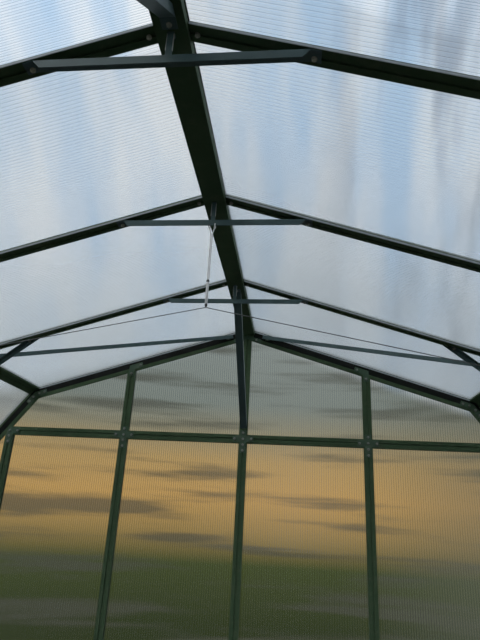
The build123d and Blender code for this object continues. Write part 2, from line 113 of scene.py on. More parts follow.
class Finish:
    """The nodes of one material, or of the sky."""

    def __init__(self, block):
        self.block = block
        block.use_nodes = True
        self.tree = block.node_tree
        self.tree.nodes.clear()

    def add(self, kind, settings=None, values=None, out=0):
        """Adds a node, sets what it is, then its sockets, and returns one output."""
        node = self.tree.nodes.new(kind)
        for name, value in (settings or {}).items():
            if name == "stops":
                ramp = node.color_ramp.elements
                ramp[0].position, ramp[0].color = value[0]
                ramp[1].position, ramp[1].color = value[-1]
                for place, colour in value[1:-1]:
                    ramp.new(place).color = colour
            else:
                setattr(node, name, value)
        for name, value in (values or {}).items():
            if isinstance(value, Link):
                self.tree.links.new(value.socket, node.inputs[name])
            else:
                node.inputs[name].default_value = value
        return Link(self, node.outputs[out])

    def place(self):
        return self.add("ShaderNodeTexCoord", out="Object")

    def scaled(self, where, scale):
        """A place or a direction, multiplied along each axis."""
        return self.add("ShaderNodeVectorMath", {"operation": "MULTIPLY"}, {0: where, 1: scale})

    def noise(self, where, scale, detail=3.0, roughness=0.5):
        values = {"Vector": where, "Scale": scale, "Detail": detail, "Roughness": roughness}
        return self.add("ShaderNodeTexNoise", None, values)

    def step(self, value, low, high):
        """A soft step from 0 to 1 as a value goes from low to high."""
        values = {"Value": value, "From Min": low, "From Max": high}
        return self.add("ShaderNodeMapRange", {"interpolation_type": "SMOOTHSTEP"}, values)

    def mix(self, share, first, second):
        """The colour a share of the way from the first to the second."""
        return self.add("ShaderNodeMix", {"data_type": "RGBA"}, {0: share, 6: first, 7: second}, 2)

    def bump(self, height, strength, distance):
        values = {"Height": height, "Strength": strength, "Distance": distance}
        return self.add("ShaderNodeBump", None, values)

    def shader(self, **values):
        """A Principled shader; underscores in the names stand for spaces."""
        named = {name.replace("_", " "): value for name, value in values.items()}
        return self.add("ShaderNodeBsdfPrincipled", None, named)

    def clear(self, tint):
        """Clear plastic that lets light straight through, dimmed by a tint."""
        return self.add("ShaderNodeBsdfTransparent", None, {"Color": tint})

    def blend(self, share, first, second):
        """Two shaders mixed by a share of the second."""
        return self.add("ShaderNodeMixShader", None, {0: share, 1: first, 2: second})

    def seen(self):
        """1 for what is looked at, straight, mirrored or through a sheet, and else 0."""
        rays = [self.add("ShaderNodeLightPath", out=f"Is {kind} Ray") for kind in
                ("Camera", "Glossy", "Transmission")]
        return self.add("ShaderNodeMath", {"operation": "MAXIMUM"}, {0: rays[0], 1: rays[1] + rays[2]})

    def done(self, surface, output="ShaderNodeOutputMaterial"):
        end = self.tree.nodes.new(output)
        self.tree.links.new(surface.socket, end.inputs["Surface"])
        return self.block


def finish_of(name):
    return Finish(bpy.data.materials.new(name))


def coat(name, deep, light, dust, dustiness, gloss, roughness):
    """A powder coat: two tones in soft patches, dust on top and a fine orange-peel skin."""
    paint = finish_of(name)
    patches = paint.noise(paint.place(), scale=6.0)
    dust_patches = paint.noise(paint.place(), scale=23.0, detail=6.0, roughness=0.65)
    dusty = paint.step(dust_patches, low=0.46, high=0.78)
    tone = paint.mix(patches, deep, light)
    orange_peel = paint.noise(paint.place(), scale=1400.0, detail=2.0)
    return paint.done(paint.shader(
        Base_Color=paint.mix(dusty * dustiness, tone, dust),
        Roughness=dusty * (dustiness * 0.5) + roughness,
        Specular_IOR_Level=gloss,
        Normal=paint.bump(orange_peel, strength=0.12, distance=0.0003),
    ))


def ease_edges(piece, width):
    """A small round on the edges of a piece."""
    bevel = piece.modifiers.new("edge_round", "BEVEL")
    bevel.width = width
    bevel.segments = 2
    bevel.limit_method = "ANGLE"
    bevel.harden_normals = True


def dress(slot, material, edge):
    """Gives the model's nodes of one slot their finish and a small round on their edges."""
    for row in frame["record"]["subparts"]:
        if row["material_slot"] == slot:
            piece = frame["nodes"][row["node"]]
            piece.data.materials.clear()
            piece.data.materials.append(material)
            weld = piece.modifiers.new("weld", "WELD")
            weld.merge_threshold = 0.00002
            ease_edges(piece, edge)


green_paint = coat("green_powder_coat", deep=(0.042, 0.072, 0.038, 1), light=(0.064, 0.100, 0.054, 1),
                   dust=(0.12, 0.135, 0.085, 1), dustiness=0.35, gloss=0.03, roughness=0.5)
dress("green_frame", green_paint, edge=0.0008)


# Braces and ties are light angle, 2 mm thick, in a greyer and glossier green that catches
# the sky on its upright faces. Their ends are bolted flat to the bars.
brace_coat = coat("brace_coat", deep=(0.060, 0.095, 0.095, 1), light=(0.078, 0.117, 0.117, 1),
                  dust=(0.11, 0.13, 0.125, 1), dustiness=0.12, gloss=0.1, roughness=0.4)
dress("green_brace", brace_coat, edge=0.0004)


# Joint plates of both gables: 2 mm steel crosses, tees and elbows in a dusty green coat,
# laid over the bars' inner faces where they meet and held there by bolts.
def around(count):
    """The angles of a full turn, shared out evenly."""
    return [2 * math.pi * n / count for n in range(count)]


class Shape:
    """The points and faces of a piece while it is being made."""

    def __init__(self):
        self.points = []
        self.faces = []

    def stack(self, rings, closed=False):
        """Joins rings of as many points each into a solid, or into a closed loop."""
        base = len(self.points)
        count = len(rings[0])
        for ring in rings:
            self.points += [tuple(point) for point in ring]
        for n in range(len(rings) if closed else len(rings) - 1):
            lower = base + n * count
            upper = base + (n + 1) % len(rings) * count
            for k in range(count):
                beside = (k + 1) % count
                self.faces.append((lower + k, lower + beside, upper + beside, upper + k))
        if not closed:
            last = base + (len(rings) - 1) * count
            self.faces.append(tuple(reversed(range(base, base + count))))
            self.faces.append(tuple(range(last, last + count)))

    def prism(self, where, outline, low, high):
        """A flat outline made thick, standing on a seat."""
        self.stack([[where @ Vector((*point, height)) for point in outline] for height in (low, high)])

    def across_house(self, side, outline, start, stop):
        """An upright outline on one side of the house, made long from one y to another."""
        self.stack([[(side * x, y, z) for x, z in outline] for y in (start, stop)])

    def turned(self, where, profile, sides):
        """A turned form on a seat, from pairs of radius and height."""
        self.stack([[where @ Vector((radius * math.cos(t), radius * math.sin(t), height))
                     for t in around(sides)] for radius, height in profile])

    def tube(self, path, radius, sides=10, closed=False):
        """A round section carried along a path of points."""
        rings = []
        beside = None
        for n, point in enumerate(path):
            before = path[n - 1] if closed or n > 0 else point
            after = path[(n + 1) % len(path)] if closed or n < len(path) - 1 else point
            onward = (after - before).normalized()
            beside = beside or onward.orthogonal()
            beside = (beside - onward * beside.dot(onward)).normalized()
            other = onward.cross(beside)
            rings.append([point + radius * (math.cos(t) * beside + math.sin(t) * other)
                          for t in around(sides)])
        self.stack(rings, closed)


def seat(origin, across, out):
    """A working face: its x runs across, its z stands out of the surface."""
    axes = Matrix((across, out.cross(across), out)).transposed().to_4x4()
    return Matrix.Translation(origin) @ axes


def moved(where, across, upward, out=0.0):
    return where @ Matrix.Translation((across, upward, out))


def rounded(corners, radius, steps=3, most=0.45):
    """A closed line with its corners eased by a radius, or by a share of a short side."""
    line = []
    for n, corner in enumerate(corners):
        here = Vector(corner)
        back = Vector(corners[n - 1]) - here
        onward = Vector(corners[(n + 1) % len(corners)]) - here
        start = here + back.normalized() * min(radius, back.length * most)
        stop = here + onward.normalized() * min(radius, onward.length * most)
        for k in range(steps + 1):
            t = k / steps
            line.append(start * (1 - t) ** 2 + here * 2 * t * (1 - t) + stop * t ** 2)
    return line


def solid_mesh(name, points, faces):
    """A mesh whose faces all look outward."""
    mesh = bpy.data.meshes.new(name)
    mesh.from_pydata(points, [], faces)
    solid = bmesh.new()
    solid.from_mesh(mesh)
    bmesh.ops.recalc_face_normals(solid, faces=solid.faces)
    solid.to_mesh(mesh)
    solid.free()
    return mesh


def make(name, shape, material, edge=0.0):
    """Turns a shape into a piece of the model with its finish."""
    mesh = solid_mesh(name, shape.points, shape.faces)
    mesh.materials.append(material)
    mesh.shade_smooth()
    mesh.set_sharp_from_angle(angle=math.radians(35))
    piece = bpy.data.objects.new(name, mesh)
    bpy.context.scene.collection.objects.link(piece)
    if edge:
        ease_edges(piece, edge)
    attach(piece, "root")
    return piece


ACROSS = Vector((1, 0, 0))
ALONG = Vector((0, 1, 0))
UPRIGHT = Vector((0, 0, 1))

rail_low, rail_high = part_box("rear_gable_rail")
rear_face = rail_low.y
front_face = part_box("front_gable_rail")[1].y
rail_z = (rail_low.z + rail_high.z) / 2
bar_half = (rail_high.z - rail_low.z) / 2
skin_depth = rail_high.y - rail_low.y
house_half = cad_box[1][0]
wall_x = house_half - skin_depth
gable_bays = 5
stud_pitch = 2 * house_half / gable_bays
base_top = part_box("base_rail_rear")[1].z
upper_pitch = math.radians(17.55)
lower_pitch = math.radians(53.9)
wall_pitch = math.radians(90)
ridge_rise = 0.571
apex_z = rail_z + ridge_rise
knee_inset = 0.374
knee_x = wall_x - knee_inset
knee_z = apex_z - knee_x * math.tan(upper_pitch)
eave_z = knee_z - (wall_x - knee_x) * math.tan(lower_pitch)
GABLES = {
    "rear": seat(Vector((0, rear_face, 0)), ACROSS, Vector((0, -1, 0))),
    "front": seat(Vector((0, front_face, 0)), Vector((-1, 0, 0)), ALONG),
}

plate_thickness = 0.002
plate_half = 0.015
plate_arms = {"left": 0.052, "right": 0.052, "down": 0.068, "up": 0.042}
arm_ways = {"left": (-1, 0), "right": (1, 0), "down": (0, -1), "up": (0, 1)}
arm_nuts = {"left": (0.041,), "right": (0.041,), "down": (0.028, 0.056), "up": (0.030,)}
corner_round = 0.004
flange_middle = 0.0235
elbow_half = 0.013
elbow_leg = 0.060
elbow_nuts = (0.018, 0.048)
stud_head_leg = 0.048
stud_head_nuts = (0.033, 0.047)
apex_strip_inward = 0.036
apex_strip_half = 0.010
apex_leg = 0.075
brace_tab_x = 0.104
brace_tab_inward = 0.013
brace_tab_half = (0.012, 0.008)


def fall(angle):
    """The way down a slope on the right-hand side, as x and z."""
    return Vector((math.cos(angle), -math.sin(angle)))


def inward(angle):
    """The way into the house from a slope on the right-hand side."""
    return Vector((-math.sin(angle), -math.cos(angle)))


def inner_corner(first, second, corner, depth):
    """Where two slopes meet when both are moved inward by a depth."""
    half_turn = (second - first) / 2
    return Vector(corner) + inward(first + half_turn) * depth / math.cos(half_turn)


def under_roof(x, depth=0.0):
    """Height over x of the upper roof's inner line, moved inward by a depth."""
    return apex_z - depth / math.cos(upper_pitch) - abs(x) * math.tan(upper_pitch)


def rectangle(half_width, half_height):
    corners = [(half_width, half_height), (-half_width, half_height),
               (-half_width, -half_height), (half_width, -half_height)]
    return rounded(corners, corner_round)


def cross_outline(arms):
    """The outline of a plate with arms to some of its four sides."""
    reach = {way: plate_arms[way] if way in arms else plate_half for way in plate_arms}
    h = plate_half
    corners = [(h, reach["up"]), (h, h), (reach["right"], h), (reach["right"], -h), (h, -h),
               (h, -reach["down"]), (-h, -reach["down"]), (-h, -h), (-reach["left"], -h),
               (-reach["left"], h), (-h, h), (-h, reach["up"])]
    return rounded([corner for n, corner in enumerate(corners) if corner != corners[n - 1]], corner_round)


def strip_outline(line, half):
    """The outline of a strip along a bent line, mitred at its bends."""
    one_side, other_side = [], []
    for n, point in enumerate(line):
        after = (line[min(n + 1, len(line) - 1)] - line[min(n, len(line) - 2)]).normalized()
        before = (line[max(n, 1)] - line[max(n - 1, 0)]).normalized()
        middle = (before + after).normalized()
        offset = Vector((-middle.y, middle.x)) * half / middle.dot(before)
        one_side.append(point + offset)
        other_side.append(point - offset)
    return rounded(one_side + other_side[::-1], corner_round)


plate_coat = coat("joint_plate_coat", deep=(0.040, 0.074, 0.044, 1), light=(0.062, 0.100, 0.064, 1),
                  dust=(0.13, 0.15, 0.11, 1), dustiness=0.5, gloss=0.15, roughness=0.4)
roof_way, lower_way, wall_way = fall(upper_pitch), fall(lower_pitch), fall(wall_pitch)
knee_middle = inner_corner(upper_pitch, lower_pitch, (knee_x, knee_z), flange_middle)
eave_middle = inner_corner(lower_pitch, wall_pitch, (wall_x, eave_z), flange_middle)
stud_head = Vector((stud_pitch, under_roof(stud_pitch, flange_middle)))
apex = Vector((0, under_roof(0, apex_strip_inward)))
strips = [
    [stud_head - Vector((0, stud_head_leg)), stud_head, stud_head - roof_way * elbow_leg],
    [knee_middle - roof_way * elbow_leg, knee_middle, knee_middle + lower_way * elbow_leg],
    [eave_middle - lower_way * elbow_leg, eave_middle, eave_middle + wall_way * elbow_leg],
]
spots = [stud_head - Vector((0, stud_head_nuts[0])), stud_head - roof_way * stud_head_nuts[1],
         apex + roof_way * elbow_nuts[1]]
for reach in elbow_nuts:
    spots += [knee_middle - roof_way * reach, knee_middle + lower_way * reach,
              eave_middle - lower_way * reach, eave_middle + wall_way * reach]
apex_fall = roof_way * apex_leg
apex_line = [apex + apex_fall * Vector((-1, 1)), apex, apex + apex_fall]

nut_seats = {"rear_gable": [], "front_gable": [], "frame": [], "brace": []}
for gable, face in GABLES.items():
    plates = Shape()
    bolts = []
    joints = [(x, ("left", "right", "down", "up")) for x in (-stud_pitch, 0, stud_pitch)]
    if gable == "front":
        joints[1] = (0, ("left", "right", "up"))
    joints += [(-2 * stud_pitch, ("right", "down")), (2 * stud_pitch, ("left", "down"))]
    for x, arms in joints:
        plates.prism(moved(face, x, rail_z), cross_outline(arms), 0, plate_thickness)
        bolts.append((x, rail_z))
        for arm in arms:
            across, upward = arm_ways[arm]
            bolts += [(x + across * reach, rail_z + upward * reach) for reach in arm_nuts[arm]]
    for side in (-1, 1):
        flip = Vector((side, 1))
        for strip in strips:
            outline = strip_outline([point * flip for point in strip], elbow_half)
            plates.prism(face, outline, 0, plate_thickness)
        brace_tab = (side * brace_tab_x, under_roof(brace_tab_x, brace_tab_inward))
        plates.prism(moved(face, *brace_tab), rectangle(*brace_tab_half), 0, plate_thickness)
        bolts += [tuple(spot * flip) for spot in spots] + [brace_tab]
    plates.prism(face, strip_outline(apex_line, apex_strip_half), 0, plate_thickness)
    make(f"{gable}_gable_plates", plates, plate_coat, edge=0.0004)
    nut_seats[f"{gable}_gable"] += [moved(face, x, z, plate_thickness) for x, z in bolts]


# Bent plates of the three inner frames: thin steel folded over each knee and eave, under
# the rail and the bars that meet there, with two bolts in each leg.
bent_thickness = 0.0015
bent_leg = 0.070
bent_half = 0.015
bent_nuts = (0.014, 0.052)
roof_bays = 4
frame_pitch = (rear_face - front_face) / roof_bays
frame_places = [front_face + n * frame_pitch for n in range(1, roof_bays)]


def slope_seat(side, angle, x, z, y, out=0.0):
    """A seat on the inner face of a slope; its y runs down the slope."""
    into = Vector((-side * math.sin(angle), 0, -math.cos(angle)))
    return moved(seat(Vector((side * x, y, z)), Vector((0, side, 0)), into), 0, 0, out)


bent_plates = Shape()
for place in frame_places:
    for side in (-1, 1):
        for corner, first, second in (((knee_x, knee_z), upper_pitch, lower_pitch),
                                      ((wall_x, eave_z), lower_pitch, wall_pitch)):
            middle = Vector(corner)
            top = middle - fall(first) * bent_leg
            foot = middle + fall(second) * bent_leg
            outline = [top, middle, foot, foot + inward(second) * bent_thickness,
                       inner_corner(first, second, corner, bent_thickness),
                       top + inward(first) * bent_thickness]
            bent_plates.across_house(side, outline, place - bent_half, place + bent_half)
            for reach in bent_nuts:
                for spot, angle in ((middle - fall(first) * reach, first),
                                    (middle + fall(second) * reach, second)):
                    nut_seats["frame"].append(slope_seat(side, angle, *spot, place, bent_thickness))
make("frame_corner_plates", bent_plates, plate_coat, edge=0.0004)


# Base brackets: small folded angles that hold each stud and side post to the base rail,
# with one bolt up the bar and one down into the rail.
bracket_up = 0.042
bracket_out = 0.020
bracket_half = 0.014
bar_bolt_share = 0.68
rail_bolt_share = 0.6

base_brackets = Shape()
section = [(0, 0), (bracket_out, 0), (bracket_out, plate_thickness),
           (plate_thickness, plate_thickness), (plate_thickness, bracket_up), (0, bracket_up)]
feet = [moved(GABLES["rear"], n * stud_pitch, base_top) for n in (-2, -1, 0, 1, 2)]
feet += [moved(GABLES["front"], n * stud_pitch, base_top) for n in (-2, -1, 1, 2)]
for side in (-1, 1):
    feet += [seat(Vector((side * wall_x, place, base_top)), Vector((0, -side, 0)), Vector((-side, 0, 0)))
             for place in frame_places]
for foot in feet:
    base_brackets.stack([[foot @ Vector((across, upward, out)) for out, upward in section]
                         for across in (-bracket_half, bracket_half)])
    nut_seats["frame"].append(moved(foot, 0, bracket_up * bar_bolt_share, plate_thickness))
    rail_spot = foot @ Vector((0, plate_thickness, bracket_out * rail_bolt_share))
    nut_seats["frame"].append(seat(rail_spot, foot.col[0].to_3d(), foot.col[1].to_3d()))
make("base_brackets", base_brackets, plate_coat, edge=0.0003)


# Brace ends: each brace is flattened into a short tab that lies on the bar it is bolted
# to. Thin strips of light steel along the king straps' two long edges paint their edge highlights.
tie_drop = 0.090
tie_nut_x = 0.2925
rafter_nut_x = 0.052
strap_half = 0.007
strap_near = 0.018
strap_thickness = 0.003
strap_lip = 0.0011
strap_foot_rise = 0.014
strap_head_drop = 0.006
strap_foot_bolt = 0.010
strap_head_bolt = 0.007
knee_brace_x = (knee_x - 0.245, knee_x + 0.210)
brace_width = 0.020
tab_length = 0.022
head_setback = 0.050
head_tab = 0.026
head_bolt_share = 0.55
foot_low, foot_high = 0.052, 0.100
foot_tab_half = 0.0165
foot_bolt_rise = 0.008
roof_brace_start = 0.080
roof_brace_bolt_back = 0.020
roof_brace_half = 0.010
ridge_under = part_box("ridge_beam")[0].z
down = Vector((0, 0, -1))
tie_top = apex_z - tie_drop


def downhill(side, angle):
    """The way down a slope on one side of the house."""
    return Vector((side * math.cos(angle), 0, -math.sin(angle)))


brace_tabs = Shape()
strap_highlights = Shape()
strap_foot, strap_head = tie_top + strap_foot_rise, ridge_under - strap_head_drop
strap_highlight = [(strap_half + way * strap_lip / 2, z) for way, z in
              ((-1, strap_foot), (1, strap_foot), (1, strap_head), (-1, strap_head))]
for place in frame_places:
    for spot in (Vector((0, place - strap_foot_bolt, tie_top - plate_thickness)),
                 Vector((0, place - strap_head_bolt, ridge_under - strap_thickness))):
        nut_seats["brace"].append(seat(spot, ACROSS, down))
    strap_start = place - strap_near - strap_lip / 4
    strap_stop = strap_start + strap_thickness + strap_lip / 2
    for side in (-1, 1):
        for x, out in ((tie_nut_x, plate_thickness), (rafter_nut_x, 0.0)):
            nut_seats["brace"].append(slope_seat(side, upper_pitch, x, under_roof(x), place, out))
        strap_highlights.across_house(side, strap_highlight, strap_start, strap_stop)
        top_x, low_x = knee_brace_x
        top_x -= tab_length / 2 * math.cos(upper_pitch)
        low_x += tab_length / 2 * math.cos(lower_pitch)
        low_z = knee_z - (low_x - knee_x) * math.tan(lower_pitch)
        for angle, x, z in ((upper_pitch, top_x, under_roof(top_x)), (lower_pitch, low_x, low_z)):
            tab = slope_seat(side, angle, x, z, place + brace_width / 2)
            brace_tabs.prism(tab, rectangle(brace_width / 2, tab_length / 2), 0, plate_thickness)
            nut_seats["brace"].append(moved(tab, 0, 0, plate_thickness))

knee_run = knee_x / math.cos(upper_pitch)
start_run = roof_brace_start / math.cos(upper_pitch)
for gable, face_y, place, outward in (("rear", rear_face, frame_places[-1], 1),
                                      ("front", front_face, frame_places[0], -1)):
    foot_tab = moved(GABLES[gable], 0, rail_z + (foot_low + foot_high) / 2)
    foot_outline = rectangle(foot_tab_half, (foot_high - foot_low) / 2)
    brace_tabs.prism(foot_tab, foot_outline, 0, plate_thickness)
    nut_seats["brace"].append(moved(foot_tab, 0, foot_bolt_rise, plate_thickness))
    head_y = place + outward * (head_setback - head_tab * head_bolt_share)
    head_spot = Vector((0, head_y, ridge_under - plate_thickness))
    nut_seats["brace"].append(seat(head_spot, ACROSS, down))
    for side in (-1, 1):
        slope = downhill(side, upper_pitch)
        line = (slope * (knee_run - start_run) + Vector((0, place - face_y, 0))).normalized()
        widening = slope * (-line.y * outward) + Vector((0, line.dot(slope) * outward, 0))
        end = Vector((0, place, apex_z)) + slope * knee_run
        spot = end - line * roof_brace_bolt_back + widening * roof_brace_half
        knee_seat = slope_seat(side, upper_pitch, abs(spot.x), spot.z, spot.y, plate_thickness)
        nut_seats["brace"].append(knee_seat)
make("brace_tabs", brace_tabs, brace_coat, edge=0.0003)


# Nuts, washers and bolt ends are zinc-plated steel, dulled and a little spotted. Every
# joint shows the nut side indoors, with two turns of thread standing out of it.
def plated(name, deep, light):
    """Zinc plating, spotted where it has dulled."""
    zinc = finish_of(name)
    spots = zinc.noise(zinc.place(), scale=260.0, detail=4.0, roughness=0.6)
    return zinc.done(zinc.shader(
        Base_Color=zinc.mix(spots, deep, light),
        Roughness=spots * 0.25 + 0.28,
        Metallic=0.85,
        Normal=zinc.bump(spots, strength=0.15, distance=0.0002),
    ))


dull_zinc = plated("dull_zinc", (0.08, 0.09, 0.075, 1), (0.32, 0.335, 0.30, 1))
# Light steel for the thin strips on the king straps' edges, which paint the straps' edge highlights.
highlight_steel = plated("highlight_steel", (0.42, 0.42, 0.40, 1), (0.62, 0.62, 0.60, 1))
washer = ((0.0058, 0), (0.0062, 0.0003), (0.0062, 0.0010), (0.0058, 0.0013))
hex_nut = ((0.0050, 0.0012), (0.0056, 0.0018), (0.0056, 0.0046), (0.0050, 0.0053))
bolt_end = ((0.0028, 0.0050), (0.0028, 0.0070), (0.0022, 0.0077))
turn_between_nuts = 0.73

for group, seats in nut_seats.items():
    nuts = Shape()
    for n, where in enumerate(seats):
        spun = where @ Matrix.Rotation(n * turn_between_nuts, 4, "Z")
        nuts.turned(spun, washer, sides=16)
        nuts.turned(spun, hex_nut, sides=6)
        nuts.turned(spun, bolt_end, sides=12)
    make(f"{group}_nuts", nuts, dull_zinc)
# The light steel strips on the straps' edges are painted highlights.
make("strap_highlights", strap_highlights, highlight_steel)


# Painted sheen strips: thin light grey strips down both flanks of each roof bar and down the inside
# of the gables' roof bars, just under the sheets. Their pale colour paints the sheen of the bars' flanks as
# pale lines.
sheen_paint = finish_of("sheen_strip_grey")
sheen_patches = sheen_paint.noise(sheen_paint.place(), scale=38.0, detail=5.0, roughness=0.6)
sheen_grain = sheen_paint.noise(sheen_paint.place(), scale=600.0, detail=2.0)
sheen_strip_grey = sheen_paint.done(sheen_paint.shader(
    Base_Color=sheen_paint.mix(sheen_patches, (0.26, 0.29, 0.31, 1), (0.44, 0.47, 0.49, 1)),
    Roughness=sheen_patches * 0.2 + 0.5,
    Normal=sheen_paint.bump(sheen_grain, strength=0.1, distance=0.0003),
))
sheen_strip_thickness = 0.0012
sheen_strip_from, sheen_strip_to = 0.0010, 0.0066
ridge_half = 0.034
ridge_gap = 0.002
purlin_leg = 0.028

sheen_strips = Shape()
sheen_strip_start = ridge_half + ridge_gap
sheen_strip_end = knee_x - purlin_leg * math.cos(upper_pitch)
sheen_strip_outline = [(x, under_roof(x, -out)) for x, out in
                ((sheen_strip_start, sheen_strip_from), (sheen_strip_end, sheen_strip_from),
                 (sheen_strip_end, sheen_strip_to), (sheen_strip_start, sheen_strip_to))]
flanks = [(place + way * bar_half, way) for place in frame_places for way in (-1, 1)]
for flank, way in flanks + [(front_face, 1), (rear_face, -1)]:
    for side in (-1, 1):
        sheen_strips.across_house(side, sheen_strip_outline, *sorted((flank, flank + way * sheen_strip_thickness)))
# These light grey strips are painted sheen along the roof bars' flanks.
make("roof_bar_sheen_strips", sheen_strips, sheen_strip_grey)


# Gable shade strips: a flat black strip along the upper half of the sloping gable bars,
# from the ridge over the knee to the eave, under the roof sheets' ends. It paints the shade in the bars'
# recessed upper half.
shade_paint = finish_of("painted_shade_black")
shade_grain = shade_paint.noise(shade_paint.place(), scale=300.0, detail=3.0)
painted_shade_black = shade_paint.done(shade_paint.shader(
    Base_Color=shade_paint.mix(shade_grain, (0.005, 0.006, 0.005, 1), (0.012, 0.014, 0.012, 1)),
    Roughness=0.75,
    Specular_IOR_Level=0.1,
    Normal=shade_paint.bump(shade_grain, strength=0.2, distance=0.0003),
))
gable_shade_half = 0.0135
gable_shade_depth = 0.0145
gable_shade_thickness = 0.001

gable_shade_strips = Shape()
gable_shade_line = [Vector((ridge_half, under_roof(ridge_half, gable_shade_depth))),
             inner_corner(upper_pitch, lower_pitch, (knee_x, knee_z), gable_shade_depth),
             inner_corner(lower_pitch, wall_pitch, (wall_x, eave_z), gable_shade_depth)]
for face in GABLES.values():
    for side in (-1, 1):
        outline = strip_outline([point * Vector((side, 1)) for point in gable_shade_line], gable_shade_half)
        gable_shade_strips.prism(face, outline, 0, gable_shade_thickness)
# This black strip is painted shade on the sloping gable bars.
make("gable_shade_strips", gable_shade_strips, painted_shade_black)


# The tension wire is thin galvanised strand between two eye bolts on the lower rafters.
# Each end is looped through its eye and crimped, and the white cord lifts its middle.
strand = finish_of("galvanised_strand")
strand_lay = strand.add("ShaderNodeTexWave", {"bands_direction": "DIAGONAL"},
                        {"Vector": strand.place(), "Scale": 220.0, "Distortion": 0.0})
galvanised = strand.done(strand.shader(
    Base_Color=strand.mix(strand_lay, (0.03, 0.035, 0.035, 1), (0.14, 0.15, 0.15, 1)),
    Roughness=0.45,
    Metallic=0.6,
    Normal=strand.bump(strand_lay, strength=0.4, distance=0.0003),
))
wire_radius = 0.0013
wire_y = frame_places[1] - 0.019
wire_low = rail_z - 0.086
wire_peak = Vector((0, wire_y, rail_z + 0.189))
wire_end = knee_x + (knee_z - wire_low) / math.tan(lower_pitch)
eye_out = 0.0115
eye_radius = 0.0040
eye_bar = 0.0013
eye_nut = ((0.0046, 0), (0.0046, 0.0034), (0.0040, 0.0040))
eye_shank = ((0.0018, 0.0030), (0.0018, eye_out - eye_radius))
loop_middle = 0.0085
loop_reach = 0.0095
loop_half = 0.0034
crimp_places = (0.0160, 0.0175, 0.0285, 0.0300)
crimp_radius = 0.0026
wire_from = 0.0170
peak_ease = 0.004

wire = Shape()
for side in (-1, 1):
    where = slope_seat(side, lower_pitch, wire_end, wire_low, wire_y)
    wire.turned(where, eye_nut, sides=6)
    wire.turned(where, eye_shank, sides=12)
    turns = around(20)
    ring = [where @ Vector((0, eye_radius * math.sin(t), eye_out + eye_radius * math.cos(t)))
            for t in turns]
    wire.tube(ring, eye_bar, sides=8, closed=True)
    eye_middle = where @ Vector((0, 0, eye_out))
    onward = (wire_peak - eye_middle).normalized()
    loop = [eye_middle + onward * (loop_middle - loop_reach * math.cos(t))
            + ALONG * (loop_half * math.sin(t)) for t in turns]
    wire.tube(loop, wire_radius * 0.8, sides=8, closed=True)
    wire.tube([eye_middle + onward * reach for reach in crimp_places], crimp_radius)
    wire.tube([eye_middle + onward * wire_from, wire_peak - onward * peak_ease, wire_peak],
              wire_radius, sides=8)
tension_wire = make("tension_wire", wire, galvanised)
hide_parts("tie_wire")


# The wire's hanger: a doubled white cord that forks under the middle tie, to a white loop
# and a black ring. Below come a black bead, a milky sleeve and an end bead on the wire.
white = finish_of("white_cord")
white_braid = white.add("ShaderNodeTexWave", {"bands_direction": "DIAGONAL"},
                        {"Vector": white.place(), "Scale": 160.0, "Distortion": 1.5})
white_cord = white.done(white.shader(
    Base_Color=white.mix(white_braid, (0.74, 0.75, 0.74, 1), (0.90, 0.90, 0.88, 1)),
    Roughness=0.6,
    Normal=white.bump(white_braid, strength=0.5, distance=0.0004),
))
black = finish_of("black_plastic")
black_grain = black.noise(black.place(), scale=420.0, detail=3.0)
black_plastic = black.done(black.shader(
    Base_Color=black.mix(black_grain, (0.008, 0.008, 0.008, 1), (0.020, 0.020, 0.020, 1)),
    Roughness=black_grain * 0.2 + 0.32,
    Normal=black.bump(black_grain, strength=0.1, distance=0.0002),
))
web_bottom = tie_top - 0.020
bead_z = tie_top - 0.208
bead_radius = 0.004
end_bead_z = wire_peak.z + wire_radius + bead_radius
sleeve_radius = 0.0040
sleeve = ((sleeve_radius * 0.8, bead_z - 0.072), (sleeve_radius, bead_z - 0.0705),
          (sleeve_radius, bead_z - 0.0045), (sleeve_radius * 0.8, bead_z - 0.0034))
lower_cord_top = bead_z - 0.068
cord_radius = 0.0018
strand_gap = 0.0021
ring_x = 0.0085
ring_radius = 0.0050
ring_half_x, ring_half_y = 0.45 * ring_radius, 0.8 * ring_radius
ring_drop = 0.001
ring_bar = 0.0013
merge_drop = 0.034
strand_path = ((strand_gap * 0.4, bead_z + bead_radius * 0.6), (strand_gap, bead_z + 0.016),
               (strand_gap, web_bottom - merge_drop),
               (strand_gap + 0.0012, web_bottom - merge_drop * 0.72),
               (ring_x, web_bottom - ring_radius * 1.5))
tied_half_y, tied_half_z = 0.0046, 0.0068
tied_drop = 0.0015
knot_drop = 0.0075
knot_radius = 0.0036


def bead_profile(radius, hole=0.08, bulge=0.84, steps=8):
    """Half a bead's outline, slightly flattened at its hole."""
    turns = [math.pi * (hole + bulge * n / steps) for n in range(steps + 1)]
    return [(radius * math.sin(t), -radius * math.cos(t)) for t in turns]


hanger = Shape()
for way in (-1, 1):
    hanger.tube([Vector((way * x, wire_y, z)) for x, z in strand_path], cord_radius)
loop_turns = around(18)
tied_loop = [Vector((ring_x, wire_y + tied_half_y * math.cos(t),
                     web_bottom - tied_drop + tied_half_z * math.sin(t))) for t in loop_turns]
hanger.tube(tied_loop, cord_radius, sides=8, closed=True)
for way in (-1, 1):
    knot = seat(Vector((way * ring_x, wire_y, web_bottom - knot_drop)), ACROSS, UPRIGHT)
    hanger.turned(knot, bead_profile(knot_radius), sides=14)
cord_line = seat(Vector((0, wire_y, 0)), ACROSS, UPRIGHT)
hanger.turned(cord_line, sleeve, sides=18)
hanger.tube([Vector((0, wire_y, lower_cord_top)), Vector((0, wire_y, end_bead_z))], cord_radius)
hanger_cord = make("hanger_cord", hanger, white_cord)
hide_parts("wire_hanger")

